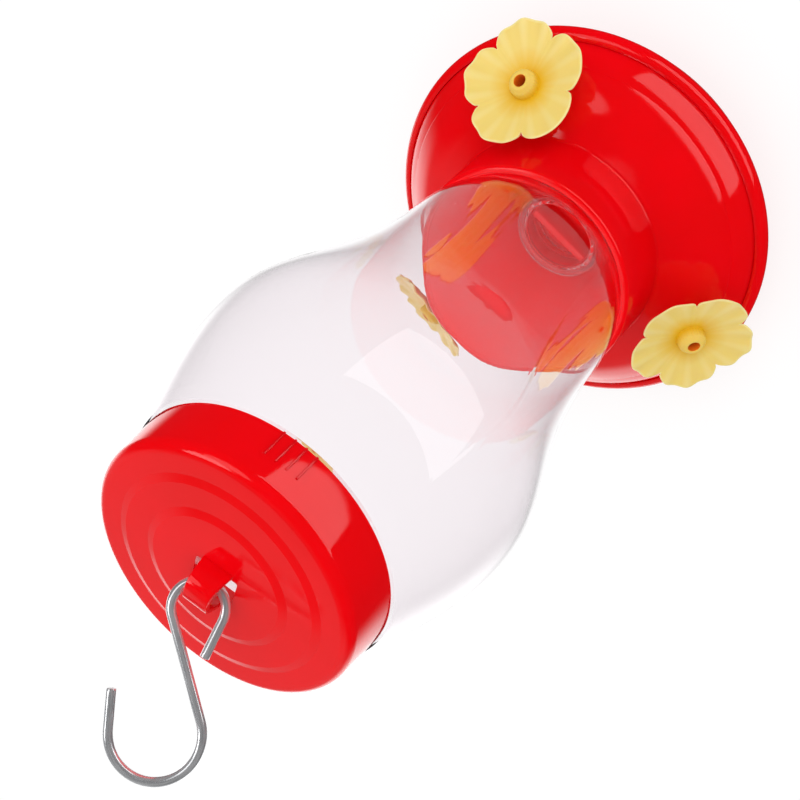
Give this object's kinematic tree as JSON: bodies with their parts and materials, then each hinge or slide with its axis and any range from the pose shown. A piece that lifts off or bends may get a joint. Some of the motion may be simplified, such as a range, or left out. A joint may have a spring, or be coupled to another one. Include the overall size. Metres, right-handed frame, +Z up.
{
  "type": "hanging bird drinker",
  "caption": "Clear bottle standing neck down in a round red base with yellow flower-shaped feeding ports, hung from a steel S-hook through an eyelet on its red cap.",
  "frame": {"origin": "centre of the dish's flat foot, on the bottle's axis", "axes": "+Z up along the bottle's axis towards the hanging cap; flower_1 faces -Y"},
  "size_m": [0.14, 0.1468, 0.2661],
  "materials": {
    "red_plastic": "glossy moulded red plastic",
    "clear_bottle": "clear blown plastic with a faint lavender tint",
    "yellow_plastic": "satin soft yellow plastic",
    "pale_rubber": "pale translucent rubber",
    "steel_wire": "bright zinc-plated wire"
  },
  "bodies": {
    "dish": {"base_dish": "red_plastic"},
    "cover": {"base_cover": "red_plastic"},
    "seal": {"neck_seal": "pale_rubber"},
    "bottle_and_cap": {"bottle": "clear_bottle", "top_cap": "red_plastic"},
    "hook": {"s_hook": "steel_wire"},
    "front_flower": {"flower_1": "yellow_plastic"},
    "left_flower": {"flower_2": "yellow_plastic"},
    "right_flower": {"flower_3": "yellow_plastic"}
  },
  "joints": [
    {"name": "cover_lift", "type": "slide", "parent": "dish", "child": "cover", "axis": [0, 0, 1], "range_m": [0, 0.035]},
    {"name": "seal_lift", "type": "slide", "parent": "cover", "child": "seal", "axis": [0, 0, 1], "range_m": [0, 0.006]},
    {"name": "bottle_unscrew", "type": "hinge", "parent": "seal", "child": "bottle_and_cap", "pos_m": [0, 0, 0.0305], "axis": [0, 0, 1], "range_deg": [0, 540]},
    {"name": "hook_swing", "type": "hinge", "parent": "bottle_and_cap", "child": "hook", "pos_m": [0, 0, 0.2298], "axis": [-0.8512, 0.4915, -0.1839], "range_deg": [-113, 26]},
    {"name": "front_flower_pull", "type": "slide", "parent": "cover", "child": "front_flower", "axis": [0, -0.6428, 0.766], "range_m": [0, 0.014]},
    {"name": "left_flower_pull", "type": "slide", "parent": "cover", "child": "left_flower", "axis": [-0.5567, 0.3214, 0.766], "range_m": [0, 0.014]},
    {"name": "right_flower_pull", "type": "slide", "parent": "cover", "child": "right_flower", "axis": [0.5567, 0.3214, 0.766], "range_m": [0, 0.014]}
  ],
  "couplings": [
    {"joint": "seal_lift", "follows": "bottle_unscrew", "m_per_rad": 0.00063662}
  ]
}
